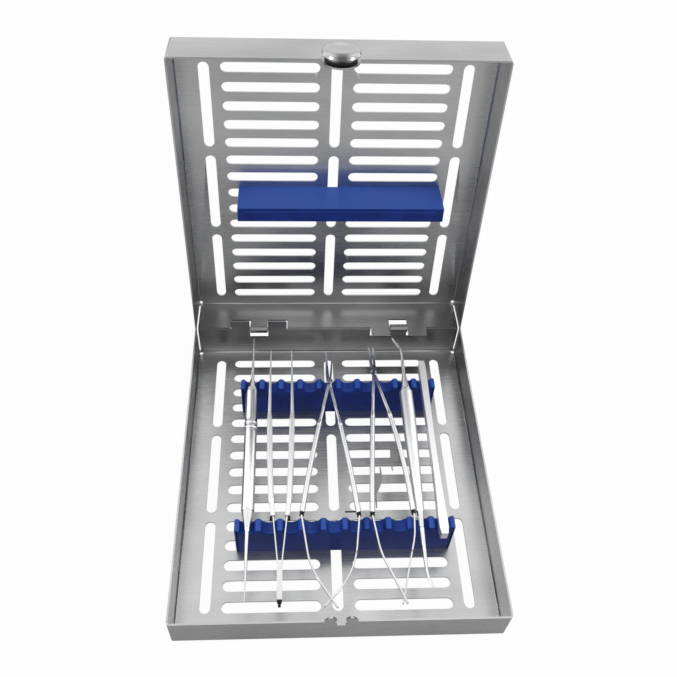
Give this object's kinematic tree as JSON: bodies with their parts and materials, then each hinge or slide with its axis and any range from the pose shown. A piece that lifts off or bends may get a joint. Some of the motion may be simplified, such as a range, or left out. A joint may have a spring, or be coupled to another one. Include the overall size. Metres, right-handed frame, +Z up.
{
  "type": "instrument cassette",
  "caption": "Open steel instrument cassette: two hinged slotted trays, blue silicone rests and hold-down bar, turn latch, loaded with fine hand instruments",
  "frame": {"origin": "centre of the flat underside of the lower tray, in the plane that it stands on", "axes": "+X to the right seen from the front, +Y from the latch edge to the hinge edge, +Z up; the lid stands open 96 degrees at the hinge edge"},
  "size_m": [0.185, 0.246, 0.2327],
  "materials": {
    "tray_steel": "satin brushed stainless sheet",
    "tool_steel": "fine satin stainless",
    "spring_steel": "bright satin spring strip",
    "knob_chrome": "polished",
    "silicone": "soft matte silicone",
    "dark_plug": "matte"
  },
  "bodies": {
    "base": {"base_shell": "tray_steel", "rear_rest": "silicone", "front_rest": "silicone"},
    "lid": {"lid_shell": "tray_steel", "lid_pad": "silicone", "latch_washer": "dark_plug"},
    "latch": {"latch_knob": "knob_chrome", "latch_shaft": "tool_steel"},
    "probe": {"probe_handle": "tool_steel", "probe_rear_point": "tool_steel", "probe_front_point": "tool_steel"},
    "elevator": {"elevator_handle": "tool_steel", "elevator_rear_tip": "tool_steel", "elevator_front_tip": "tool_steel"},
    "blade_holder": {"blade_handle": "tool_steel"},
    "tweezers": {"tweezer_tail": "spring_steel", "tweezer_pin": "dark_plug", "tweezer_leaf_left": "spring_steel", "tweezer_leaf_right": "spring_steel", "tweezer_plug_left": "dark_plug", "tweezer_plug_right": "dark_plug"},
    "tweezers_left": {"tweezer_arm_left": "tool_steel"},
    "tweezers_right": {"tweezer_arm_right": "tool_steel"},
    "scissors": {"scissor_screw": "tool_steel"},
    "scissors_left": {"scissor_arm_left": "tool_steel", "scissor_plug_left": "dark_plug", "scissor_spring_left": "spring_steel"},
    "scissors_right": {"scissor_arm_right": "tool_steel", "scissor_plug_right": "dark_plug", "scissor_spring_right": "spring_steel", "scissor_stop_rod": "dark_plug"},
    "needle_holder": {"holder_screw": "tool_steel"},
    "needle_holder_left": {"holder_arm_left": "tool_steel", "holder_plug_left": "dark_plug", "holder_spring_left": "spring_steel", "holder_lock_plate": "tool_steel"},
    "needle_holder_right": {"holder_arm_right": "tool_steel", "holder_plug_right": "dark_plug", "holder_spring_right": "spring_steel", "holder_catch_plate": "tool_steel", "holder_catch_pin": "tool_steel"}
  },
  "joints": [
    {"name": "lid_hinge", "type": "hinge", "parent": "base", "child": "lid", "pos_m": [0, 0.0995, 0.026], "axis": [-1, 0, 0], "range_deg": [-96, 0], "deforming": ["lid_pad"]},
    {"name": "latch_turn", "type": "hinge", "parent": "lid", "child": "latch", "pos_m": [0, 0.11787, 0.22467], "axis": [0, 0.1045, 0.9945], "range_deg": [0, 90]},
    {"name": "probe_lift", "type": "slide", "parent": "base", "child": "probe", "axis": [0, 0, 1], "range_m": [0, 0.06]},
    {"name": "elevator_lift", "type": "slide", "parent": "base", "child": "elevator", "axis": [0, 0, 1], "range_m": [0, 0.06]},
    {"name": "blade_holder_lift", "type": "slide", "parent": "base", "child": "blade_holder", "axis": [0, 0, 1], "range_m": [0, 0.06]},
    {"name": "tweezers_lift", "type": "slide", "parent": "base", "child": "tweezers", "axis": [0, 0, 1], "range_m": [0, 0.06]},
    {"name": "scissors_lift", "type": "slide", "parent": "base", "child": "scissors", "axis": [0, 0, 1], "range_m": [0, 0.06]},
    {"name": "needle_holder_lift", "type": "slide", "parent": "base", "child": "needle_holder", "axis": [0, 0, 1], "range_m": [0, 0.06]},
    {"name": "tweezers_right_close", "type": "hinge", "parent": "tweezers", "child": "tweezers_right", "pos_m": [-0.0289, -0.041, 0.028], "axis": [0, 0, 1], "range_deg": [0, 1.5], "stiffness_Nm_per_rad": 0.3},
    {"name": "tweezers_left_close", "type": "hinge", "parent": "tweezers", "child": "tweezers_left", "pos_m": [-0.0369, -0.041, 0.028], "axis": [0, 0, 1], "range_deg": [-1.5, 0]},
    {"name": "scissors_right_close", "type": "hinge", "parent": "scissors", "child": "scissors_right", "pos_m": [-0.00147, 0.0506, 0.0306], "axis": [0, 0, -1], "range_deg": [0, 4.9], "stiffness_Nm_per_rad": 0.3},
    {"name": "scissors_left_close", "type": "hinge", "parent": "scissors", "child": "scissors_left", "pos_m": [-0.00147, 0.0506, 0.0306], "axis": [0, 0, -1], "range_deg": [-4.9, 0]},
    {"name": "holder_right_close", "type": "hinge", "parent": "needle_holder", "child": "needle_holder_right", "pos_m": [0.0279, 0.0594, 0.0306], "axis": [0, 0, -1], "range_deg": [0, 2.5], "stiffness_Nm_per_rad": 0.3},
    {"name": "holder_left_close", "type": "hinge", "parent": "needle_holder", "child": "needle_holder_left", "pos_m": [0.0279, 0.0594, 0.0306], "axis": [0, 0, -1], "range_deg": [-2.5, 0]}
  ],
  "couplings": [
    {"joint": "tweezers_left_close", "follows": "tweezers_right_close", "ratio": -1},
    {"joint": "scissors_left_close", "follows": "scissors_right_close", "ratio": -1},
    {"joint": "holder_left_close", "follows": "holder_right_close", "ratio": -1}
  ]
}
